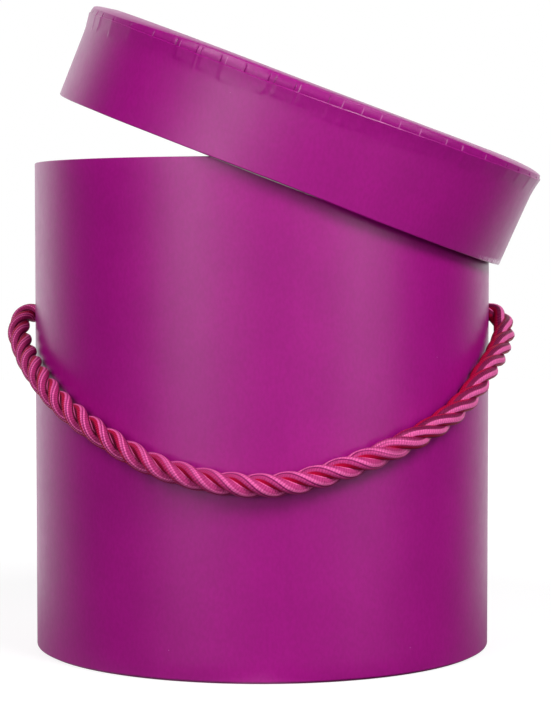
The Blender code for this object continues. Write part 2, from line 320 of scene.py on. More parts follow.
@dataclass(frozen=True)
class GreyBoard:
    """Grey board: pulp with darker flecks, dull and a little rough.

    Args:
        colour: Its colour.
        fleck: Its flecks' colour.
        sheen: Its roughness.
        relief: The depth of its pulp.
    """

    colour: Colour = (0.42, 0.4, 0.37)
    fleck: Colour = (0.12, 0.11, 0.1)
    sheen: float = 0.9
    relief: float = 0.05 * MM

    def material(self, name: str) -> bpy.types.Material:
        """Its material."""
        pen = new_material(name)
        place = pen.place()
        pulp = pen.blend(pen.spread(pen.noise(place, 160, 5), 0, 1), scaled(self.colour, 0.82), self.colour)
        flecks = pen.spread(pen.noise(place, 1400, 2), 0, 0.6, 0.62, 0.7)
        pen.shade(Base_Color=pen.blend(flecks, pulp, self.fleck), Roughness=self.sheen)
        pen.bump(pen.noise(place, 1800, 4), self.relief)
        return pen.owner


@dataclass(frozen=True)
class SatinCord:
    """Strands of satin-wrapped plies: ribbed pink, bright bands that are painted highlights, and crimson that darkens
    into the hollows between the strands as painted shade.

    Args:
        thread: The width of a wrapped thread.
        slant: How many threads a wrap advances in going once round a strand.
        pink: The ribbed ply's colour.
        light: The bright ply's colour, a painted highlight.
        groove: The line between the plies, a painted shade in the groove.
        crimson: The smooth flank's colour, partly the satin's own red and partly painted shade where the flank turns
            away from the light.
        plum_painted_shade: The colour deep between the strands, a painted shade.
        shaded: The colour of the ribbed ply at the left of the handle, a painted shade.
        opened: Up to where along the cord the crimson lies open at the left.
        dusk_painted_shade: A painted shade on a ply at the right of the handle.
        turned: Where along the cord the bands of the right of the handle take over.
        between: The colour between the threads, a painted shade.
        shine: The colour of the thread's gloss.
        gloss: How strong it is.
        wander: How far the threads stray, in radians of their wave.
        relief: The depth of the threads.
    """

    thread: float = 0.68 * MM
    slant: float = 5
    pink: Colour = (0.5, 0.042, 0.2)
    light: Colour = (0.82, 0.13, 0.4)
    groove: Colour = (0.2, 0.004, 0.09)
    crimson: Colour = (0.42, 0.001, 0.035)
    plum_painted_shade: Colour = (0.08, 0.001, 0.012)
    shaded: Colour = (0.34, 0.02, 0.12)
    opened: tuple[float, float] = (95 * MM, 145 * MM)
    dusk_painted_shade: Colour = (0.15, 0.005, 0.045)
    turned: tuple[float, float] = (182 * MM, 204 * MM)
    between: Colour = (0.2, 0.005, 0.07)
    shine: Colour = (1, 0.3, 0.6)
    gloss: float = 0.3
    wander: float = 5
    relief: float = 0.09 * MM

    def bands(self) -> Sequence[Band]:
        """The colours across a strand, by the angle from its front line downwards. The light bands are painted
        highlights; the groove, the plum and the darker crimson are painted shade.
        """
        return (
            (-135, -135, self.plum_painted_shade),
            (-112, -112, self.crimson),
            (-104, -82, self.light),
            (-74, -36, self.pink),
            (-26, -2, self.light),
            (4, 11, self.groove),
            (17, 44, self.pink),
            (53, 80, self.crimson),
            (98, 98, self.plum_painted_shade),
        )

    def bands_open(self) -> Sequence[Band]:
        """The same at the left of the handle, where the crimson lies open between the plies and the ribbed ply is in
        painted shade.
        """
        return (
            (-135, -135, self.plum_painted_shade),
            (-110, -110, self.crimson),
            (-104, -92, self.light),
            (-86, -75, self.plum_painted_shade),
            (-67, -38, self.shaded),
            (-31, -22, self.light),
            (-17, -17, self.groove),
            (-10, -10, self.pink),
            (0, 9, self.light),
            (15, 36, self.crimson),
            (56, 56, self.plum_painted_shade),
        )

    def bands_turned(self) -> Sequence[Band]:
        """The same at the right of the handle, with a ply in painted shade above the painted highlight."""
        return (
            (-125, -125, self.plum_painted_shade),
            (-100, -60, self.crimson),
            (-50, -16, self.dusk_painted_shade),
            (-7, 28, self.light),
            (38, 38, self.dusk_painted_shade),
            (46, 62, self.crimson),
            (92, 92, self.plum_painted_shade),
        )

    def material(self, name: str) -> bpy.types.Material:
        """Its material, on the strand's own map: across in turns, along in metres."""
        pen = new_material(name)
        strand = pen.node("UVMap", uv_map="strand").outputs["UV"]
        parts = pen.node("SeparateXYZ", in_Vector=strand)
        across, along = parts.outputs["X"], parts.outputs["Y"]
        # The colour bands paint highlights and shade across each strand
        opened, plain = pen.ramp(across, self.bands_open()), pen.ramp(across, self.bands())
        front = pen.blend(pen.spread(along, 0, 1, *self.opened), opened, plain)
        colour = pen.blend(pen.spread(along, 0, 1, *self.turned), front, pen.ramp(across, self.bands_turned()))
        slanted = pen.sum(
            pen.sum(along, math.tau / self.thread, "MULTIPLY"), pen.sum(across, math.tau * self.slant, "MULTIPLY")
        )
        stray = pen.sum(pen.noise(pen.place(), 380, 2), self.wander, "MULTIPLY")
        threads = pen.node("Math", operation="SINE", in_0=pen.sum(slanted, stray)).outputs["Value"]
        plies = pen.sum(
            pen.spread(across, 0.3, 1, 0.5 - 86 / 360, 0.5 - 72 / 360),
            pen.spread(across, 1, 0.2, 0.5 + 42 / 360, 0.5 + 55 / 360),
            "MULTIPLY",
        )
        # Painted shade between the threads, on the plies
        thread_painted_shade = pen.sum(pen.spread(threads, 0.36, 0, -1, 0.5), plies, "MULTIPLY")
        pen.shade(
            Base_Color=pen.blend(thread_painted_shade, colour, self.between),
            Roughness=pen.spread(threads, 0.6, 0.42, -1, 1),
            Specular_IOR_Level=self.gloss,
            Specular_Tint=self.shine,
        )
        pen.bump(pen.sum(threads, plies, "MULTIPLY"), self.relief, 0.7)
        return pen.owner


# Making shapes


def added(name: str, data: bpy.types.ID) -> Piece:
    """Adds an object with its mesh, lamp or lens to the scene."""
    piece = bpy.data.objects.new(name, data)
    bpy.context.scene.collection.objects.link(piece)
    return piece


def deselect() -> None:
    """Leaves nothing selected."""
    bpy.ops.object.select_all(action="DESELECT")


def choose(piece: Piece) -> None:
    """Makes a piece the one that operators work on."""
    deselect()
    piece.select_set(True)
    bpy.context.view_layer.objects.active = piece


def turned(name: str, outline: Outline, columns: int, ring: bool) -> Piece:
    """Turns an outline: a circle is extruded from one ring to the next, and the ends are joined or filled.

    Args:
        name: The piece's name.
        outline: The radius and height of each ring, in order.
        columns: How many points each ring has.
        ring: Whether the last ring joins the first, as in a tube, or both ends are filled, as in a disc.

    Returns:
        The piece, closed, faces outwards.
    """
    deselect()
    radius, height = outline[0]
    bpy.ops.mesh.primitive_circle_add(vertices=columns, radius=radius, location=(0, 0, height))
    piece = bpy.context.object
    piece.name = name
    bpy.ops.object.mode_set(mode="EDIT")
    bpy.ops.mesh.select_all(action="SELECT")
    for (radius, height), (next_radius, next_height) in pairwise(outline):
        bpy.ops.mesh.extrude_edges_move(TRANSFORM_OT_translate={"value": (0, 0, next_height - height)})
        grow = next_radius / radius
        bpy.ops.transform.resize(value=(grow, grow, 1), center_override=(0, 0, next_height))
    bpy.ops.mesh.select_mode(type="EDGE")
    bpy.ops.mesh.select_all(action="DESELECT")
    bpy.ops.mesh.select_non_manifold()
    if ring:
        bpy.ops.mesh.bridge_edge_loops()
    else:
        bpy.ops.mesh.fill_holes(sides=0)
    bpy.ops.mesh.select_all(action="SELECT")
    bpy.ops.mesh.normals_make_consistent(inside=False)
    bpy.ops.object.mode_set(mode="OBJECT")
    bpy.ops.object.transform_apply(location=True, rotation=True, scale=True)
    return piece


def corner(
    centre: tuple[float, float], radius: float, start: float, end: float, steps: int = 4
) -> list[tuple[float, float]]:
    """Points of a rounded corner of an outline, from one angle to another, in degrees, 0 outwards and 90 up."""
    angles = [math.radians(start + (end - start) * step / steps) for step in range(steps + 1)]
    return [(centre[0] + radius * math.cos(angle), centre[1] + radius * math.sin(angle)) for angle in angles]


def there_and_back(first: float, second: float, heights: Sequence[float]) -> Outline:
    """A ring's outline, along one radius and back along another."""
    return [(first, height) for height in heights] + [(second, height) for height in heights[::-1]]


def round_size(node: str) -> tuple[float, float, float]:
    """A round node's outer radius, and its lowest and highest heights."""
    low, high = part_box(node)
    return high[0], low[2], high[2]


def vertex_table(piece: Piece) -> Numbers:
    """A piece's vertices, one row each."""
    flat = np.empty(len(piece.data.vertices) * 3)
    piece.data.vertices.foreach_get("co", flat)
    return flat.reshape(-1, 3)


def polar(table: Numbers) -> tuple[Numbers, Numbers]:
    """The angle and the radius of some places."""
    return np.arctan2(table[:, 0], -table[:, 1]), np.hypot(table[:, 0], table[:, 1])


def mark(piece: Piece, name: str, values: Numbers) -> None:
    """Writes a value for each vertex, for the piece's material."""
    piece.data.attributes.new(name, "FLOAT", "POINT").data.foreach_set("value", values)


def reshape(piece: Piece, mover: Mover) -> Piece:
    """Moves a turned piece's vertices by hand.

    Args:
        piece: The piece.
        mover: Gives the new angle, radius and height from the old ones.

    Returns:
        The piece.
    """
    table = vertex_table(piece)
    angle, radius, height = mover(*polar(table), table[:, 2])
    moved = np.stack([radius * np.sin(angle), -radius * np.cos(angle), height], axis=1)
    piece.data.vertices.foreach_set("co", moved.ravel())
    piece.data.update()
    return piece


def smooth(piece: Piece, angle: float = 42) -> Piece:
    """Shades a piece smooth, apart from edges sharper than an angle."""
    choose(piece)
    bpy.ops.object.shade_smooth_by_angle(angle=math.radians(angle))
    return piece


@dataclass(frozen=True)
class Course:
    """How a size runs along a cord, round an edge or up a wall, as seen in the photo.

    Args:
        points: Where, in millimetres or degrees, and how much, in millimetres or degrees.
    """

    points: tuple[tuple[float, float], ...]

    def value(self, where: Numbers) -> Numbers:
        """How much at some places."""
        line = smooth_route([(place, size, 0) for place, size in self.points])
        return np.interp(where, line[:, 0], line[:, 1])

    def at(self, where: Numbers) -> Numbers:
        """The size at some places, in metres."""
        return MM * self.value(where)


def step_between(value: Numbers, start: float, end: float) -> Numbers:
    """A soft step from 0 at start to 1 at end."""
    share = np.clip((value - start) / (end - start), 0, 1)
    return share * share * (3 - 2 * share)


def waves(angle: Numbers, height: Numbers, seed: int, size: float) -> Numbers:
    """A gentle unevenness over a round wall, from a few seeded waves.

    Args:
        angle: Angles round the wall.
        height: Heights on it.
        seed: Which unevenness.
        size: Its largest depth.

    Returns:
        The depth at each place.
    """
    chance = random.Random(seed)
    total = np.zeros_like(angle)
    for turns in (2, 3, 5, 7, 11):
        lift = chance.uniform(8, 30)
        total += np.sin(turns * angle + lift * height + chance.uniform(0, math.tau)) / turns
    return size * total / 1.5


def dressed(
    piece: Piece, body: Body, slot: Slot, replaced: str | None, *materials: bpy.types.Material
) -> Piece:
    """Gives a piece its materials and its body, and hides the node that it stands for."""
    piece.data.materials.clear()
    for material in materials:
        piece.data.materials.append(material)
    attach(piece, body.value)
    if replaced:
        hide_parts(replaced)
    log.info("%s: %d faces", piece.name, len(piece.data.polygons))
    return piece


@dataclass(frozen=True)
class CordHoles:
    """The two holes of the cord, on one line through the box.

    Args:
        height: Their height.
        radius: Their radius.
        reach: How far the drill goes each way.
    """

    height: float = 117.5 * MM
    radius: float = 4.2 * MM
    reach: float = 84 * MM


def bored(piece: Piece, holes: CordHoles) -> Piece:
    """Cuts the two cord holes through a piece's wall."""
    deselect()
    bpy.ops.mesh.primitive_cylinder_add(
        vertices=48,
        radius=holes.radius,
        depth=2 * holes.reach,
        location=(0, 0, holes.height),
        rotation=(0, math.pi / 2, 0),
    )
    drill = bpy.context.object
    choose(piece)
    cut = piece.modifiers.new("cord_holes", "BOOLEAN")
    cut.object = drill
    cut.solver = "EXACT"
    bpy.ops.object.modifier_apply(modifier=cut.name)
    bpy.data.objects.remove(drill)
    return piece


# The cord


@dataclass(frozen=True)
class Lay:
    """How three strands are laid into a cord, right-handed.

    Args:
        diameter: The cord's diameter.
        pitch: The length in which a strand goes round once, by how far along the cord.
        facing: The side of the cord that its plies face, in degrees, by how far along the cord.
        sway: How far the plies turn to and fro with their strand, in degrees.
        steady: Where along the cord they stop doing so.
        press: A strand's radius as a share of the diameter; over 0.232 the strands press into each other.
        sides: Points round a strand.
        step: The length between a strand's rings.
        groove: The depth of the line between a strand's pink plies.
        flank: How far the crimson flank lies under the plies.
    """

    diameter: float = 8 * MM
    pitch: Course = Course(
        ((0, 23.8), (30, 25.1), (60, 26.7), (100, 27.2), (135, 26.1), (155, 25.6), (195, 27.7), (235, 28.2),
         (296, 30.3))
    )  # fmt: skip
    facing: Course = Course(
        ((0, -60), (15, -20), (30, -2), (45, 6), (60, 10), (75, 14), (90, 15), (120, 20), (150, 22), (180, 20),
         (205, 20), (222, 32), (240, 28), (255, 32), (270, 26), (285, 0), (296, -20))
    )  # fmt: skip
    sway: float = 55
    steady: tuple[float, float] = (180 * MM, 206 * MM)
    press: float = 0.262
    sides: int = 40
    step: float = 0.6 * MM
    groove: float = 0.22 * MM
    flank: float = 0.14 * MM

    def strand_radius(self) -> float:
        """The radius of a strand."""
        return self.diameter * self.press

    def profile(self, angle: Numbers, swaying: Numbers) -> Numbers:
        """A strand's radius by the angle from its front line, in degrees, and by how much the plies sway."""
        groove = self.groove * np.exp(-(((angle - 8) / 6) ** 2)) * swaying
        flank = self.flank * (step_between(angle, 46, 58) - step_between(angle, 95, 130))
        return self.strand_radius() - groove - flank

    def cord(self, name: str, route: Numbers, girth: Numbers, phase: float) -> Piece:
        """Lays three strands along a route.

        Args:
            name: The piece's name.
            route: Points along the cord's middle line.
            girth: The share of the full thickness at each point.
            phase: The turn of the first strand halfway along, in degrees.

        Returns:
            The cord, with its map "strand".
        """
        along, middle = evenly(route, self.step)
        share = np.interp(along, lengths(route), girth)[:, None]
        tangent = unit(np.gradient(middle, axis=0))
        normal = carried_normals(tangent)
        across = np.cross(tangent, normal)
        offset = share * (self.diameter / 2 - self.strand_radius())
        sides = np.linspace(-180, 180, self.sides, endpoint=False)
        laid = np.cumsum(math.tau * np.gradient(along) / self.pitch.at(along / MM))
        laid -= laid[len(laid) // 2]
        swaying = 1 - step_between(along, *self.steady)
        points, faces = [], []
        for strand in range(3):
            turn = laid + math.radians(phase + 120 * strand)
            line = middle + offset * around(turn, normal, across)
            way = unit(np.gradient(line, axis=0))
            face = np.radians(self.facing.value(along / MM))
            face += math.radians(self.sway) * swaying * np.sin(turn - face)
            front = around(face, normal, across)
            front = unit(front - np.sum(front * way, axis=1, keepdims=True) * way)
            side = np.cross(way, front)
            faces += strand_faces(len(points) * self.sides * len(along), len(along), self.sides)
            radius = self.profile(sides[None], swaying[:, None])[..., None] * share[:, None]
            ring = around(np.radians(sides), front[:, None], side[:, None])
            points.append((line[:, None] + radius * ring).reshape(-1, 3))
        return strand_mesh(name, np.vstack(points), faces, along, self.sides)


def lengths(line: Numbers) -> Numbers:
    """How far each of a line's points lies along it."""
    return np.concatenate([[0], np.cumsum(np.linalg.norm(np.diff(line, axis=0), axis=1))])


def evenly(line: Numbers, step: float) -> tuple[Numbers, Numbers]:
    """Evenly spaced points along a line, with how far along each lies."""
    given = lengths(line)
    along = np.linspace(0, given[-1], max(3, round(given[-1] / step)))
    return along, np.stack([np.interp(along, given, line[:, axis]) for axis in range(3)], axis=1)


def unit(rows: Numbers) -> Numbers:
    """Vectors brought to a length of one."""
    return rows / np.linalg.norm(rows, axis=-1, keepdims=True)


def around(angle: Numbers, start: Numbers, quarter: Numbers) -> Numbers:
    """Directions round a line, by the angle from one across it towards another."""
    return np.cos(angle)[:, None] * start + np.sin(angle)[:, None] * quarter


def carried_normals(tangent: Numbers) -> Numbers:
    """Normals carried along a line without twist, the first as near to straight up as can be."""
    normal = np.zeros_like(tangent)
    held = np.array([0.0, 0.0, 1.0])
    for row, way in enumerate(tangent):
        held = unit(held - np.dot(held, way) * way)
        normal[row] = held
    return normal


def smooth_route(points: Sequence[tuple[float, float, float]], parts: int = 24) -> Numbers:
    """A smooth line through given points, finely divided."""
    given = np.array(points, float)
    given = np.vstack([2 * given[0] - given[1], given, 2 * given[-1] - given[-2]])
    share = np.linspace(0, 1, parts, endpoint=False)[:, None]
    line = []
    for before, start, end, after in zip(given, given[1:], given[2:], given[3:]):
        leave = (end - before) / 2
        arrive = (after - start) / 2
        line.append(
            (2 * share**3 - 3 * share**2 + 1) * start
            + (share**3 - 2 * share**2 + share) * leave
            + (3 * share**2 - 2 * share**3) * end
            + (share**3 - share**2) * arrive
        )
    return np.vstack([*line, given[-2:-1]])


def strand_faces(first: int, rings: int, sides: int) -> list[tuple[int, ...]]:
    """A strand's faces: a quad between neighbours, and a cap at each end.

    Args:
        first: The strand's first vertex.
        rings: How many rings it has.
        sides: Points in a ring.

    Returns:
        Each face's vertices.
    """
    faces = [
        (
            first + ring * sides + side,
            first + (ring + 1) * sides + side,
            first + (ring + 1) * sides + (side + 1) % sides,
            first + ring * sides + (side + 1) % sides,
        )
        for ring in range(rings - 1)
        for side in range(sides)
    ]
    start = first
    end = first + (rings - 1) * sides
    return faces + [tuple(start + side for side in range(sides)), tuple(end + side for side in range(sides))[::-1]]


def strand_mesh(
    name: str, points: Numbers, faces: list[tuple[int, ...]], along: Numbers, sides: int
) -> Piece:
    """Makes the strands' mesh and its map: across in turns from the innermost line, along in metres."""
    mesh = bpy.data.meshes.new(name)
    mesh.from_pydata(points.tolist(), [], faces)
    piece = added(name, mesh)
    corners = np.empty(len(mesh.loops), int)
    mesh.loops.foreach_get("vertex_index", corners)
    side = corners % sides
    ring = (corners // sides) % len(along)
    starts = np.empty(len(mesh.polygons), int)
    totals = np.empty(len(mesh.polygons), int)
    mesh.polygons.foreach_get("loop_start", starts)
    mesh.polygons.foreach_get("loop_total", totals)
    face = np.repeat(np.arange(len(mesh.polygons)), totals)
    widest = np.maximum.reduceat(side, starts)[face]
    over_seam = (widest == sides - 1) & (side == 0) & (totals[face] == 4)
    spots = np.stack([(side + sides * over_seam) / sides, along[ring]], axis=1)
    mesh.uv_layers.new(name="strand").data.foreach_set("uv", spots.ravel())
    mesh.polygons.foreach_set("use_smooth", totals == 4)
    mesh.update()
    return piece


# The handle's middle line from the left hole to the right one, counted from the line through both holes,
# as in the solid model
HANDLE_ROUTE = (
    (-0.0790, 0.0000, 0.0000),
    (-0.0806, 0.0000, 0.0000),
    (-0.0830, -0.0008, -0.0004),
    (-0.0847, -0.0031, -0.0017),
    (-0.0854, -0.0065, -0.0041),
    (-0.0852, -0.0110, -0.0071),
    (-0.0835, -0.0165, -0.0104),
    (-0.0812, -0.0233, -0.0142),
    (-0.0785, -0.0312, -0.0175),
    (-0.0730, -0.0426, -0.0232),
    (-0.0670, -0.0515, -0.0285),
    (-0.0602, -0.0593, -0.0332),
    (-0.0540, -0.0650, -0.0369),
    (-0.0434, -0.0725, -0.0428),
    (-0.0345, -0.0771, -0.0467),
    (-0.0263, -0.0803, -0.0491),
    (-0.0173, -0.0827, -0.0511),
    (-0.0093, -0.0840, -0.0521),
    (-0.0005, -0.0845, -0.0525),
    (0.0096, -0.0840, -0.0517),
    (0.0185, -0.0825, -0.0497),
    (0.0269, -0.0801, -0.0472),
    (0.0343, -0.0772, -0.0448),
    (0.0430, -0.0728, -0.0415),
    (0.0515, -0.0670, -0.0379),
    (0.0595, -0.0600, -0.0338),
    (0.0655, -0.0534, -0.0296),
    (0.0706, -0.0465, -0.0249),
    (0.0755, -0.0380, -0.0188),
    (0.0795, -0.0288, -0.0146),
    (0.0822, -0.0208, -0.0110),
    (0.0841, -0.0140, -0.0080),
    (0.0850, -0.0085, -0.0053),
    (0.0845, -0.0039, -0.0025),
    (0.0829, -0.0010, -0.0006),
    (0.0806, 0.0000, 0.0000),
    (0.0790, 0.0000, 0.0000),
)


@dataclass
class Handle:
    """The twisted cord handle with a stopper knot behind each hole.

    Args:
        holes: The holes that it goes through.
        wall: The box's outer radius, where the cord comes out. It is not used.
        lay: How its strands are laid.
        finish: What it looks like.
        knot_start: How far from the box's axis a knot starts.
        phase: The first strand's turn at the middle of the front, in degrees.
        squeeze: The cord's share of its thickness in a hole.
        ease: The length over which it regains its thickness.
        knot_girth: The cord's share of its thickness where it is pulled into a knot.
        knot_turns: How often it is wound round there.
        knot_depth: How far the winding goes inwards.
    """

    holes: CordHoles
    wall: float
    lay: Lay = field(default_factory=Lay)
    finish: SatinCord = field(default_factory=SatinCord)
    knot_start: float = 76.6 * MM
    phase: float = 57
    squeeze: float = 0.82
    ease: float = 30 * MM
    knot_girth: float = 0.88
    knot_turns: float = 2
    knot_depth: float = 9.2 * MM

    def middle_line(self) -> Numbers:
        """The cord's middle line between the holes, in the row frame."""
        return smooth_route(HANDLE_ROUTE) + np.array([0, 0, self.holes.height])

    def build(self) -> None:
        """Makes the cord and its knots and puts them on the handle's body."""
        route = self.middle_line()
        along = lengths(route)
        from_end = np.minimum(along, along[-1] - along)
        girth = self.squeeze + (1 - self.squeeze) * step_between(from_end, -self.ease / 3, self.ease)
        cord = self.lay.cord("twisted_cord", route, girth, self.phase)
        satin = self.finish.material("satin_cord")
        dressed(cord, Body.HANDLE, Slot.CORD, "rope_handle", satin)
        knots = [
            dressed(self.knot("cord_knot_left", -1), Body.HANDLE, Slot.CORD, "left_knot", satin),
            dressed(self.knot("cord_knot_right", 1), Body.HANDLE, Slot.CORD, "right_knot", satin),
        ]
        log.info("cord: %.4f m long between its holes", along[-1])

    def knot(self, name: str, side: int) -> Piece:
        """A stopper knot: the cord wound twice round and led back out through its middle, with a short tail.

        Args:
            name: The piece's name.
            side: -1 for the left hole, 1 for the right.

        Returns:
            The knot.
        """
        thick = self.lay.diameter * self.knot_girth
        coil = 0.98 * thick
        points = [(0.0, 0.0, 0.0), (1.2 * MM, 0.0, 0.0)]
        steps = 22
        for step in range(steps + 1):
            angle = math.tau * self.knot_turns * step / steps
            opening = min(1.0, 0.45 + step / 4)
            inward = 0.5 * thick + self.knot_depth * step / steps
            points.append((inward, coil * opening * math.sin(angle), coil * opening * math.cos(angle)))
        far = 0.5 * thick + self.knot_depth
        points += [
            (far + 0.30 * thick, 0.55 * coil, 0.35 * coil),
            (far + 0.62 * thick, 0.25 * coil, -0.2 * coil),
            (far + 0.80 * thick, 0.05 * coil, -0.9 * coil),
            (far + 0.86 * thick, 0, -1.6 * coil),
            (far + 0.88 * thick, 0, -2.1 * coil),
        ]
        start = np.array([side * self.knot_start, 0, self.holes.height])
        line = start + smooth_route(points) * np.array([-side, 1, 1])
        girth = np.full(len(line), self.knot_girth)
        return self.lay.cord(name, line, girth, self.phase)


# The box


@dataclass
class GiftBox:
    """The round box: a wound board tube in its papers, with a base.

    Args:
        holes: The cord's holes.
        columns: Points round its papers.
        rim: The radius of the paper's turn over the board.
        turn_in: How far the cover paper goes down inside.
        under: How far the cover paper goes under the base.
        seam: Where its cover paper overlaps itself, in degrees.
        overlap: The height of that step.
        thinned: How far round the overlap's step runs out, in degrees.
        foot: The radius of the paper's turn under the base.
        wave: How uneven the wall's paper is.
        cover: What the cover paper looks like.
        lining: What the lining paper looks like.
        board: What the board looks like.
    """

    holes: CordHoles
    columns: int = 360
    rim: float = 0.4 * MM
    turn_in: float = 10 * MM
    under: float = 10 * MM
    seam: float = 6.3
    overlap: float = 0.016 * MM
    thinned: float = 16
    foot: float = 0.8 * MM
    wave: float = 0.05 * MM
    cover: CoverPaper = field(default_factory=CoverPaper)
    lining: LiningPaper = field(default_factory=LiningPaper)
    board: GreyBoard = field(default_factory=GreyBoard)

    def __post_init__(self) -> None:
        """Reads the box's main sizes from the frame."""
        self.radius, self.bottom, self.height = round_size("body_wrap")
        self.inside = round_size("body_lining")[0]
        self.disc_top = round_size("base_disc")[2]

    def build(self) -> None:
        """Makes the box's papers and dresses its boards."""
        paper = self.cover.material("magenta_cover_paper")
        plain = self.lining.material("off_white_lining_paper")
        dressed(self.cover_paper(), Body.BOX, Slot.PAPER, "body_wrap", paper)
        dressed(self.wall_lining(), Body.BOX, Slot.LINING, "body_lining", plain)
        dressed(self.base_paper(), Body.BOX, Slot.PAPER, "base_cover", paper)
        dressed(self.floor_lining(), Body.BOX, Slot.LINING, "base_liner", plain)
        dress_boards(("body_tube", "base_disc"), self.board)

    def cover_paper(self) -> Piece:
        """The cover paper: inside, over the rim, down the wall and under the base, in one skin."""
        out, rim, top, base = self.radius, self.rim, self.height, self.bottom
        inner = self.inside - PAPER
        fold = rim - PAPER
        foot = (out - self.foot, base + self.foot)
        wall = np.linspace(top - rim, foot[1], 30)
        outline = [
            (inner, top - self.turn_in),
            *corner((inner + rim, top - rim), rim, 180, 90),
            *corner((out - rim, top - rim), rim, 90, 0),
            *((out, height) for height in wall[1:-1]),
            *corner(foot, self.foot, 0, -90),
            (out - self.under, base),
            (out - self.under, base + PAPER),
            *corner(foot, self.foot - PAPER, -90, 0),
            *corner((out - rim, top - rim), fold, 0, 90, 3),
            *corner((inner + rim, top - rim), fold, 90, 180, 3),
            (inner + PAPER, top - self.turn_in),
        ]
        piece = turned("box_cover_paper", outline, self.columns, True)
        step_angle = math.tau / self.columns
        seam = round(math.radians(self.seam) / step_angle) * step_angle

        def uneven(angle: Numbers, radius: Numbers, height: Numbers) -> Spots:
            """Lays the overlap and the paper's faint unevenness."""
            behind = np.isclose(angle, seam - step_angle, atol=step_angle / 3)
            past = (angle - seam + 1e-6) % math.tau
            outer = radius > out - 1.5 * MM
            lift = self.overlap * np.clip(1 - past / math.radians(self.thinned), 0, 1)
            wave = waves(angle, height, 3, self.wave) * step_between(top - height, 0, 12 * MM)
            angle = np.where(behind, seam - 0.06 * step_angle, angle)
            return angle, radius + outer * (lift + wave), height

        return smooth(bored(reshape(piece, uneven), self.holes))

    def wall_lining(self) -> Piece:
        """The lining on the wall, butted under the cover paper's turned-in edge."""
        rows = np.linspace(self.height - self.turn_in - GLUE_GAP, self.disc_top + GLUE_GAP, 9)
        outline = there_and_back(self.inside - PAPER, self.inside, rows)
        return smooth(bored(turned("box_wall_lining", outline, self.columns // 2, True), self.holes))

    def base_paper(self) -> Piece:
        """The paper disc under the base."""
        radius, bottom, top = round_size("base_cover")
        edge = 0.08 * MM
        face = [(HEART, 0), (radius / 2, 0), (radius - edge, 0), (radius, edge)]
        rings = [(place, top - down) for place, down in face]
        rings += [(place, bottom + up) for place, up in face[::-1]]
        return smooth(turned("base_cover_paper", rings, self.columns // 2, False))

    def floor_lining(self) -> Piece:
        """The lining on the base board."""
        radius, bottom, top = round_size("base_liner")
        rings = [(HEART, top), (radius * 0.5, top), (radius, top), (radius, bottom), (HEART, bottom)]
        return smooth(turned("box_floor_lining", rings, self.columns // 2, False))


def dress_boards(nodes: Sequence[str], board: GreyBoard) -> None:
    """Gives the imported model's boards their finish."""
    for node in nodes:
        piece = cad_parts[node]
        material = board.material(node + "_board")
        for slot in piece.material_slots:
            slot.material = material
        if not piece.material_slots:
            piece.data.materials.append(material)
        log.info("%s: dressed", node)


# The lid


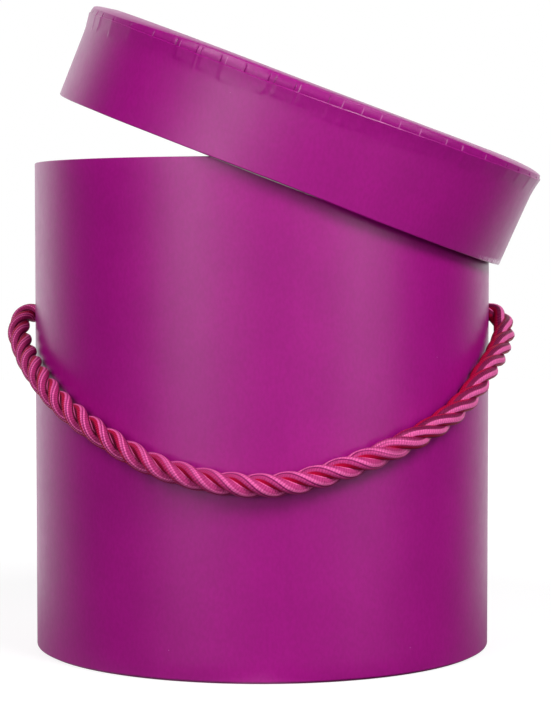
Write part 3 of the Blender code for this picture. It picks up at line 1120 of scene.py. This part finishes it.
@dataclass
class Tabs:
    """The tabs cut in the margin of the lid's top paper, folded down side by side.

    Args:
        cuts: Where the cuts at the front are, in degrees.
        bright: The ones whose white core shows.
        widths: The widths between the cuts further round, in degrees.
        lift: How far a tab's free edge stands off, at least and at most.
        settle: How far its other edge does.
        cut: Half the width of a cut, in degrees.
        columns: Points across a tab.
        ends: How much the tabs' lengths differ.
        turned_over: The share of tabs that lie the other way over their neighbour.
        seed: Which random lie of the tabs.
    """

    cuts: tuple[float, ...] = (
        -83, -76.5, -70.8, -66, -58.8, -51, -42.2, -34.9, -33.7, -29, -27.9, -22.7, -21.3, -16.5, -10.8, -9.4,
        -4.8, -3.7, 3, 6.2, 10.8, 15.2, 19.8, 25, 32.2, 37, 44.8, 53.5, 59.3, 67, 74.8, 82,
    )  # fmt: skip
    bright: tuple[float, ...] = (-42.2, -33.7, -21.3, -3.7, 6.2, 10.8, 15.2, 19.8, 25, 32.2, 37, 44.8)
    widths: tuple[float, float] = (5, 8.5)
    lift: tuple[float, float] = (0.1 * MM, 0.22 * MM)
    settle: tuple[float, float] = (0, 0.05 * MM)
    cut: float = 0.19
    columns: int = 12
    ends: float = 1.1 * MM
    turned_over: float = 0.35
    seed: int = 11

    def __post_init__(self) -> None:
        """Cuts the margin all round."""
        chance = random.Random(self.seed)
        starts = list(self.cuts)
        while starts[-1] < self.cuts[0] + 360 - self.widths[1] * 1.3:
            starts.append(starts[-1] + chance.uniform(*self.widths))
        self.starts = np.array(starts)
        self.spans = np.diff(np.append(self.starts, self.starts[0] + 360))
        count = len(starts)
        high = np.array([chance.uniform(*self.lift) for _ in range(count)])
        low = np.array([chance.uniform(*self.settle) for _ in range(count)])
        over = np.array([chance.random() < self.turned_over for _ in range(count)])
        self.at_start = np.where(over, low, high)
        self.at_end = np.where(over, high, low)
        self.length = np.array([chance.uniform(-self.ends, self.ends) for _ in range(count)])
        self.pale = np.array([start in self.bright or start > 90 and chance.random() < 0.5 for start in starts])

    def count(self) -> int:
        """How many points a ring needs."""
        return len(self.starts) * self.columns

    def angles(self) -> Numbers:
        """The angle of each point of a ring, close together at the cuts, in radians."""
        inner = np.linspace(0, 1, self.columns - 1)
        rows = [
            np.append(start, start + self.cut + (span - 2 * self.cut) * inner)
            for start, span in zip(self.starts, self.spans)
        ]
        return np.radians(np.concatenate(rows))

    def tab_of(self, angle: Numbers) -> tuple[Numbers, Numbers]:
        """Which tab an angle lies on, and its share of the way across."""
        degrees = (np.degrees(angle) - self.starts[0]) % 360 + self.starts[0]
        tab = np.clip(np.searchsorted(self.starts, degrees + 1e-5, side="right") - 1, 0, len(self.starts) - 1)
        return tab, (degrees - self.starts[tab]) / self.spans[tab]

    def relief(self, angle: Numbers, soft: float) -> Numbers:
        """How far the tabs stand off at an angle.

        Args:
            angle: The angle, in radians.
            soft: How many degrees the step at a cut takes: nothing on the tabs, more on a paper over them.

        Returns:
            The height above the margin's plain surface.
        """
        tab, share = self.tab_of(angle)
        plain = self.at_start[tab] + (self.at_end[tab] - self.at_start[tab]) * share
        flat = 0.5 * 83 * MM * (np.radians(self.spans[tab]) / 2) ** 2 * 0.5
        plain -= flat * (1 - (2 * share - 1) ** 2)
        if not soft:
            return plain
        before = self.at_end[tab - 1]
        rise = step_between(share * self.spans[tab], 0, soft)
        return before + (plain - before) * rise


def box_along(node: str, turn: Matrix) -> tuple[Numbers, Numbers]:
    """A node's lowest and highest corners along turned axes."""
    table = vertex_table(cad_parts[node]) @ np.array(turn)
    return table.min(axis=0), table.max(axis=0)


@dataclass
class Lid:
    """The lid: a board ring and disc in their papers, standing ajar on the rim.

    Args:
        tilt: How far its right side is down, in degrees.
        lean: How far its front is down, in degrees.
        rim: How wide the pressed-down rim of its top is.
        drop: How far that rim's outer edge lies below the top, for most of the way round.
        fold: The radius of the paper's fold there.
        tuck: How far the fold is drawn in.
        bare: How much of the top paper's margin shows above the side paper.
        margin: The length of the top paper's margin.
        under: How much smaller the tabs' radius is than the side paper's.
        turn_in: How far the side paper goes up inside.
        edge: The size of the bare core at the side paper's cut edge.
        bend: How steeply the pressed rim bends down.
        slits: The depths of a pale cut and of a dark one.
        slit_width: How wide a cut's side may be.
        sharp: The angle from which its papers' edges are sharp, in degrees.
        columns: Points round its boards and linings.
        top_edge, cut_edge, low_edge: How uneven the top, the side paper's cut edge and the lower edge are.
        more_drop: How much more or less than drop the rim is pressed down, by the angle.
        swell: How the wall's radius grows, by the height.
        push: How far the wall is pushed to the right, by the height.
        tabs: The tabs of the top's paper.
        cover: What its cover paper looks like.
        raw: What the bare core looks like.
        lining: What its lining paper looks like.
        pulp: What its board looks like.
    """

    tilt: float = 20.96
    lean: float = 3.88
    rim: float = 4.5 * MM
    drop: float = 1.2 * MM
    fold: float = 0.4 * MM
    tuck: float = 0.25 * MM
    bare: float = 3.0 * MM
    margin: float = 7.6 * MM
    under: float = 0.3 * MM
    turn_in: float = 10 * MM
    edge: float = 0.3 * MM
    bend: float = 1.5
    slits: tuple[float, float] = (0.04 * MM, 0.16 * MM)
    slit_width: float = 0.35 * MM
    sharp: float = 30
    columns: int = 240
    top_edge: Course = Course(
        ((-180, 0), (-90, -0.6), (-65, -0.1), (-28, 0.3), (0, 0.35), (22, 0.6), (54, 0.9), (76, 0.5), (110, 0),
         (180, 0))
    )  # fmt: skip
    cut_edge: Course = Course(
        ((-180, 0), (-90, -1.1), (-50, -0.9), (-12, -1.1), (7, -0.6), (22, 0), (35, 0.35), (84, 0.9), (130, 0.3),
         (180, 0))
    )  # fmt: skip
    low_edge: Course = Course(
        ((-180, 0), (-90, -1.05), (-50, -0.3), (-28, 0.3), (0, 0.7), (24, 0), (53, -0.8), (75, -1.4), (95, -1.5),
         (180, 0))
    )  # fmt: skip
    more_drop: Course = Course(
        ((-180, -0.7), (-110, -0.7), (-90, -0.3), (-75, 0.6), (-58, 0.9), (-45, 0.5), (-28, -0.1), (-4, -0.25),
         (15, -0.4), (32, -0.35), (45, -0.1), (60, 0.2), (90, -0.2), (110, -0.7), (180, -0.7))
    )  # fmt: skip
    swell: Course = Course(
        ((0, -0.3), (12, -0.12), (21, 0.04), (24, 0.12), (26, 0.27), (27.5, 0.46), (29, 0.7), (30.4, 0.93),
         (34, 1.0))
    )  # fmt: skip
    push: Course = Course(((0, -1.0), (13, -0.55), (24, -0.15), (27, -0.03), (30.4, 0.2), (34, 0.25)))
    tabs: Tabs = field(default_factory=Tabs)
    cover: CoverPaper = field(default_factory=CoverPaper)
    raw: RawEdge = field(default_factory=RawEdge)
    lining: LiningPaper = field(default_factory=LiningPaper)
    pulp: GreyBoard = field(default_factory=GreyBoard)

    def __post_init__(self) -> None:
        """Finds the lid's seat and sizes from the frame."""
        turn = Matrix.Rotation(math.radians(self.tilt), 3, "Y") @ Matrix.Rotation(math.radians(self.lean), 3, "X")
        local = box_along("lid_side_wrap", turn)
        middle = (local[0] + local[1]) / 2
        seat = turn @ Vector((middle[0], middle[1], local[0][2]))
        self.seat = Matrix.Translation(seat) @ turn.to_4x4()
        cover = box_along("lid_top_cover", turn)
        lining = box_along("lid_lining", turn)
        liner = box_along("lid_disc_liner", turn)
        disc = box_along("lid_disc", turn)
        ring = box_along("lid_wall", turn)
        self.radius, self.inside, self.liner_radius, self.board_radius = (
            (high[0] - low[0]) / 2 for low, high in (cover, lining, liner, ring)
        )
        base = local[0][2]
        self.height = cover[1][2] - base
        self.roof = liner[0][2] - base
        self.board = (disc[0][2] - base, disc[1][2] - base)
        self.ring = (ring[0][2] - base, ring[1][2] - base)

    def build(self) -> None:
        """Makes the lid's papers and dresses its boards."""
        paper = self.cover.material("magenta_lid_paper")
        raw = self.raw.material("raw_paper_edge")
        plain = self.lining.material("lid_lining_paper")
        dressed(self.top_paper(), Body.LID, Slot.PAPER, "lid_top_cover", paper, raw)
        dressed(self.side_paper(), Body.LID, Slot.PAPER, "lid_side_wrap", paper, raw)
        dressed(self.wall_lining(), Body.LID, Slot.LINING, "lid_lining", plain)
        dressed(self.roof_lining(), Body.LID, Slot.LINING, "lid_disc_liner", plain)
        dressed(self.top_board(), Body.LID, Slot.BOARD, "lid_disc", self.pulp.material("lid_top_board"))
        dressed(self.wall_board(), Body.LID, Slot.BOARD, "lid_wall", self.pulp.material("lid_wall_board"))

    def seated(self, piece: Piece) -> Piece:
        """Pushes a piece over with the wall and puts it at the lid's seat, with its place in its mesh."""
        table = vertex_table(piece)
        table[:, 0] += self.push.at(table[:, 2] / MM)
        piece.data.vertices.foreach_set("co", table.ravel())
        piece.data.transform(self.seat)
        piece.data.update()
        return piece

    def spaced(self, angle: Numbers) -> Numbers:
        """Moves evenly spaced angles to the tabs' own spacing, from half a turn back to half a turn on."""
        own = (self.tabs.angles() + math.pi) % math.tau - math.pi
        place = np.round(angle / (math.tau / len(own))).astype(int) % len(own)
        return own[place]

    def top_paper(self) -> Piece:
        """The top's paper: flat over the disc, down its pressed rim, round the fold, and down in tabs."""
        out, top = self.radius, self.height
        end = top - self.margin
        turn, edge = self.fold, top - self.drop
        side = np.linspace(edge - turn, end, 16)
        flat = (0.2, 0.45, 0.7, 0.86)
        rim = [(out - self.rim * (1 - share), top - self.pressed(share)) for share in (0, 0.2, 0.4, 0.6, 0.8)]
        outline = [
            *((out * share, top) for share in flat),
            *rim,
            *corner((out - turn, edge - turn), turn, 66, 0, 4),
            *((out, height) for height in side[1:]),
            *((out - PAPER, height) for height in side[::-1]),
            *corner((out - turn, edge - turn), turn - PAPER, 0, 66, 3),
            *((radius, height - PAPER) for radius, height in rim[::-1]),
            *((out * share, top - PAPER) for share in flat[::-1]),
        ]
        piece = turned("lid_top_paper", outline, self.tabs.count(), False)
        cut_shades_and_cores = np.zeros(len(piece.data.vertices))

        def tabbed(angle: Numbers, radius: Numbers, height: Numbers) -> Spots:
            """Cuts the margin into tabs and lays one a little over the next."""
            angle = self.spaced(angle)
            tab, share = self.tabs.tab_of(angle)
            skirt = (radius > out - 2 * PAPER) & (height < edge - 0.9 * turn)
            down = skirt * step_between(edge - turn - height, 0, 0.9 * MM)
            outer = radius > out - PAPER / 2
            slit = outer * (share < 1e-4)
            # A dark cut is marked for painted shade, a pale one for its bared core
            cut_shades_and_cores[:] = slit * down * np.where(self.tabs.pale[tab], -1, 1)
            slit = slit * np.where(self.tabs.pale[tab], *self.slits)
            round_ = step_between(radius, out - self.rim, out)
            wide = round_ * (self.swell.at(height / MM) - self.under)
            moved = radius + wide + down * (self.tabs.relief(angle, 0) - slit) - self.drawn_in(radius, height)
            length = step_between(top - height, 0.5 * self.margin, self.margin)
            return angle, moved, height + self.raised(angle, radius, height) + skirt * length * self.tabs.length[tab]

        reshape(piece, tabbed)
        mark(piece, "cut_shade_and_core", cut_shades_and_cores)
        self.mark_slits(piece)
        return self.seated(smooth(piece, self.sharp))

    def mark_slits(self, piece: Piece) -> None:
        """Bares the paper's core on the cut side of some tabs."""
        table = vertex_table(piece)
        for face in piece.data.polygons:
            spots = table[list(face.vertices)]
            angle, _ = polar(spots)
            width = (angle.max() - angle.min()) * self.radius
            low = spots[:, 2].mean() < self.height - self.drop - 0.7 * self.fold
            if low and width < self.slit_width and len(spots) == 4:
                tab, share = self.tabs.tab_of(angle.mean())
                face.material_index = int(self.tabs.pale[tab] and share < 0.5)

    def pressed(self, share: Numbers | float) -> Numbers | float:
        """How far the rim is pressed down, by the share of its width from the flat outwards."""
        return self.drop * share**self.bend

    def drawn_in(self, radius: Numbers, height: Numbers) -> Numbers:
        """How far the fold is drawn in from the wall's radius."""
        share = step_between(height, self.height - self.bare - 0.5 * MM, self.height - self.drop)
        return self.tuck * share * (radius / self.radius) ** 2

    def raised(self, angle: Numbers, radius: Numbers, height: Numbers) -> Numbers:
        """How far the uneven top and its pressed rim lift a place: fully at the edge, less down the margin."""
        inwards = step_between(radius / self.radius, 0.45, 0.98)
        up = step_between(height, self.height - self.margin, self.height - self.drop - self.fold)
        share = np.clip((radius - self.radius + self.rim) / (self.rim - PAPER), 0, 1)
        degrees = np.degrees(angle)
        return up * (self.top_edge.at(degrees) * inwards - self.more_drop.at(degrees) * share**self.bend)

    def top_board(self) -> Piece:
        """The top's board, its rim pressed down under the paper."""
        low, high = self.board
        out = self.radius - 1.2 * MM
        rim = self.rim - 1.2 * MM
        outline = [
            *((self.radius * share, high) for share in (0.02, 0.4, 0.7, 0.86)),
            *((out - rim * (1 - share), high - 0.75 * self.pressed(share)) for share in (0, 0.25, 0.5, 0.75, 1)),
            *((out * share, low) for share in (1, 0.9, 0.5, 0.02)),
        ]
        piece = turned("lid_top_board", outline, self.columns, False)

        def followed(angle: Numbers, radius: Numbers, height: Numbers) -> Spots:
            """Follows the paper's uneven edge with the board's upper face."""
            upper = height > low + 0.1 * MM
            lift = np.clip(self.raised(angle, radius + 0.3 * MM, np.full_like(height, self.height)), -0.95 * MM, 1)
            return angle, radius, height + upper * (lift - 0.08 * MM)

        return self.seated(smooth(reshape(piece, followed)))

    def wall_board(self) -> Piece:
        """The wall's board ring, between the lining and the side paper."""
        inner = self.inside + GLUE_GAP
        outline = there_and_back(self.board_radius, inner, np.linspace(*self.ring, 12))
        piece = turned("lid_wall_board", outline, self.columns, True)

        def swollen(angle: Numbers, radius: Numbers, height: Numbers) -> Spots:
            """Follows the side paper with the board's outer face."""
            outer = radius > (inner + self.board_radius) / 2
            return angle, radius + outer * np.minimum(self.swell.at(height / MM), 0.1 * MM), height

        return self.seated(smooth(reshape(piece, swollen)))

    def side_paper(self) -> Piece:
        """The side's paper: up inside, under the lower edge, and up the wall over the tabs to its cut edge."""
        out, core = self.radius, self.edge
        top = self.height - self.bare
        inner = self.inside - PAPER
        fold = 0.35 * MM
        low_rows = [fold, 0.55 * MM, 0.8 * MM, 1.2 * MM, 2 * MM, 4 * MM, 8 * MM, 13 * MM, 18 * MM]
        tab_rows = list(np.linspace(22 * MM, top - core, 16))
        outline = [
            (inner, self.turn_in),
            (inner, 4 * MM),
            *corner((inner + fold, fold), fold, 180, 270, 4),
            *corner((out - fold, fold), fold, -90, 0, 4),
            *((out, height) for height in low_rows[1:] + tab_rows),
            (out - 0.9 * PAPER, top),
            *((out - PAPER, height) for height in tab_rows[::-3] + low_rows[::-2]),
            (inner + PAPER, fold),
            (inner + PAPER, self.turn_in),
        ]
        piece = turned("lid_side_paper", outline, self.tabs.count(), True)

        def laid(angle: Numbers, radius: Numbers, height: Numbers) -> Spots:
            """Swells the side over the tabs and lets them show through."""
            angle = self.spaced(angle)
            tab, _ = self.tabs.tab_of(angle)
            side = radius > (out + inner) / 2 + 0.2 * MM
            swell = self.swell.at(height / MM)
            ends = self.height - self.margin + self.tabs.length[tab]
            over = step_between(height, ends - 0.7 * MM, ends + 0.5 * MM)
            relief = self.tabs.relief(angle, 0.9) * over
            wave = waves(angle, height, 5, 0.08 * MM)
            up = np.clip(height / top, 0, 1)
            rough = 0.07 * MM * np.sin(37 * angle + 1) * np.sin(16 * angle) * step_between(height, top - MM, top)
            degrees = np.degrees(angle)
            lift = np.where(side, self.cut_edge.at(degrees) * up + rough, 0)
            lift += self.low_edge.at(degrees) * (1 - up) ** 2
            return angle, radius + side * (swell + relief + wave), height + lift

        reshape(piece, laid)
        self.wear(piece)
        raw_ring = outline.index((out - 0.9 * PAPER, top))
        rings = 2 * raw_ring - 1
        for face in piece.data.polygons:
            face.material_index = int(sum(spot // self.tabs.count() for spot in face.vertices) == 2 * rings)
        return self.seated(smooth(piece, self.sharp))

    def wear(self, piece: Piece) -> None:
        """Rubs the paper pale along its lower edge, most at the right where it was pushed down."""
        table = vertex_table(piece)
        angle, radius = polar(table)
        degrees = np.degrees(angle)
        low = 1 - step_between(table[:, 2], 0.2 * MM, 1.1 * MM)
        outer = radius > self.radius - 0.6 * MM
        right = step_between(degrees, 55, 78) * (1 - step_between(degrees, 120, 140))
        mark(piece, "wear", low * outer * (0.12 + 0.9 * right))

    def wall_lining(self) -> Piece:
        """The lining inside the wall, above the side paper's turned-in edge."""
        outline = there_and_back(self.inside - PAPER, self.inside, (self.roof - GLUE_GAP, self.turn_in + GLUE_GAP))
        return self.seated(smooth(turned("lid_wall_lining", outline, self.columns, True)))

    def roof_lining(self) -> Piece:
        """The lining under the disc."""
        radius, low, high = self.liner_radius, self.roof, self.roof + PAPER
        rings = [(HEART, high), (radius, high), (radius, low), (radius * 0.5, low), (HEART, low)]
        return self.seated(smooth(turned("lid_roof_lining", rings, self.columns, False)))


# The studio


@dataclass(frozen=True)
class SoftBox:
    """An area lamp.

    Args:
        name: Its name.
        azimuth: Where it stands round the object, in degrees from the front towards the right.
        elevation: How high, in degrees.
        distance: How far from the middle of the box.
        size: Its width and height.
        power: Its power in watts.
    """

    name: str
    azimuth: float
    elevation: float
    distance: float
    size: tuple[float, float]
    power: float

    def build(self, aim: Vector) -> None:
        """Hangs the lamp so that it faces a point."""
        round_, up = math.radians(self.azimuth), math.radians(self.elevation)
        way = Vector((math.sin(round_) * math.cos(up), -math.cos(round_) * math.cos(up), math.sin(up)))
        lamp = bpy.data.lights.new(self.name, "AREA")
        lamp.shape = "RECTANGLE"
        lamp.size, lamp.size_y = self.size
        lamp.energy = self.power
        holder = added(self.name, lamp)
        holder.location = aim + way * self.distance
        holder.rotation_euler = way.to_track_quat("Z", "Y").to_euler()


@dataclass
class Studio:
    """The camera at the photo's place, soft lamps, a white sweep behind and a pale floor.

    Args:
        camera_back: How far the camera stands from the box's axis.
        camera_height: Its height.
        pitch: How far it looks down, in degrees.
        yaw: How far it looks to the right, in degrees.
        lens: Its focal length in millimetres, on a 36 mm frame.
        floor_size: The floor's width.
        aim: The height that the lamps point at.
        dim: The light from the room on the camera's side.
        backdrop: The light of the white sweep behind the object.
        swung: How far the sweep is swung to the left, in degrees.
        fade: Where the sweep fades in, by how far a ray goes towards its middle.
        front: How far before the box's axis the floor's sweep starts.
        floor_lit: The floor's light on the object near the box, dimmed there as a painted shadow, and the distances
            over which it grows to 1.
        floor_seen: The floor's light to the camera near the box, and the same.
        floor_tones: How much light the floor gives back to the object, and to the camera.
        lamps: The lamps.
    """

    camera_back: float = 0.8046
    camera_height: float = 0.1434
    pitch: float = 3.04
    yaw: float = 0.334
    lens: float = 113.42
    floor_size: float = 3.0
    aim: float = 95 * MM
    dim: float = 0.01
    backdrop: float = 1.38
    swung: float = 6
    fade: tuple[float, float] = (0.35, 0.93)
    front: float = 0.09
    floor_lit: tuple[float, float, float] = (0.4, 0.1, 0.24)
    floor_seen: tuple[float, float, float] = (0.8, 0.17, 0.36)
    floor_tones: tuple[float, float] = (0.1, 0.3)
    lamps: tuple[SoftBox, ...] = (
        SoftBox("right_above", 40, 36, 1.3, (0.5, 0.5), 11.0),
        SoftBox("left_above", -40, 36, 1.3, (0.5, 0.5), 6.6),
        SoftBox("left_side", -37, 8, 1.3, (0.6, 0.5), 2.6),
        SoftBox("left_near", -22, 8, 1.3, (0.9, 0.5), 2.4),
        SoftBox("right_side", 52, 8, 1.3, (0.6, 0.5), 2.5),
        SoftBox("right_near", 28, 8, 1.3, (1.1, 0.5), 1.6),
        SoftBox("right_rim", 125, 30, 1.3, (0.6, 0.7), 0.9),
        SoftBox("left_rim", -135, 10, 1.3, (0.6, 0.7), 0.5),
    )

    def camera(self) -> None:
        """Sets up the camera at the photo's angle."""
        lens = bpy.data.cameras.new("photo_camera")
        lens.lens = self.lens
        lens.sensor_width = 36
        lens.sensor_fit = "AUTO"
        lens.clip_start = 0.05
        holder = added("photo_camera", lens)
        holder.location = (0, -self.camera_back, self.camera_height)
        holder.rotation_euler = (math.radians(90 - self.pitch), 0, math.radians(-self.yaw))
        bpy.context.scene.camera = holder

    def build(self) -> None:
        """Lights the scene and lays the floor."""
        for lamp in self.lamps:
            lamp.build(Vector((0, 0, self.aim)))
        self.world()
        self.floor()
        bpy.context.scene.view_settings.view_transform = "Standard"

    def sweep_way(self) -> tuple[float, float, float]:
        """The way from the object to the middle of the sweep."""
        swung = math.radians(self.swung)
        return (-math.sin(swung), math.cos(swung), 0)

    def world(self) -> None:
        """A white sweep behind the object and a dim room in front; white to the camera all round."""
        pen = NodePen(bpy.data.worlds.new("studio"))
        bpy.context.scene.world = pen.owner
        way = pen.node("TexCoord").outputs["Generated"]
        behind = pen.spread(pen.towards(way, self.sweep_way()), 0, 1, *self.fade, "SMOOTHSTEP")
        mirrored = pen.sum(pen.node("LightPath").outputs["Is Glossy Ray"], behind, "MULTIPLY")
        strength = pen.sum(pen.spread(behind, self.dim, self.backdrop, 0, 1), mirrored, "MAXIMUM")
        room = pen.node("Background", in_Color=WHITE, in_Strength=strength)
        white = pen.node("Background", in_Color=WHITE)
        pen.show(room.outputs["Background"], white.outputs["Background"])

    def floor(self) -> None:
        """A plain floor that runs into the white sweep behind the object and keeps the object's shadow. To the object
        it glows like the sweep behind the box, a painted light, and its glow is dimmed near the box, a painted
        shadow.
        """
        deselect()
        bpy.ops.mesh.primitive_plane_add(size=self.floor_size, location=(0, 0, 0))
        ground = bpy.context.object
        ground.name = "floor"
        pen = new_material("pale_floor")
        spot = pen.node("TexCoord").outputs["Object"]
        from_front = pen.node("VectorMath", operation="ADD", in_0=spot, in_1=(0, self.front, 0)).outputs["Vector"]
        heading = pen.node("VectorMath", operation="NORMALIZE", in_0=from_front).outputs["Vector"]
        away = pen.node("VectorMath", operation="LENGTH", in_0=spot).outputs["Value"]
        behind = pen.spread(pen.towards(heading, self.sweep_way()), 0, self.backdrop, *self.fade)
        # The floor's glow on the object: painted light behind the box, dimmed near it as a painted shadow
        near, start, end = self.floor_lit
        lit = pen.glowing(self.floor_tones[0], pen.sum(behind, pen.spread(away, near, 1, start, end), "MULTIPLY"))
        near, start, end = self.floor_seen
        seen = pen.glowing(self.floor_tones[1], pen.spread(away, near, 1, start, end))
        pen.show(lit, seen)
        ground.data.materials.append(pen.owner)


def main() -> None:
    """Builds the camera, the cord, the box, the lid and the studio."""
    logging.basicConfig(level=logging.INFO, format="%(name)s: %(message)s")
    studio = Studio()
    studio.camera()
    holes = CordHoles()
    box = GiftBox(holes)
    Handle(holes, box.radius).build()
    box.build()
    Lid().build()
    studio.build()


if __name__ == "__main__":
    main()
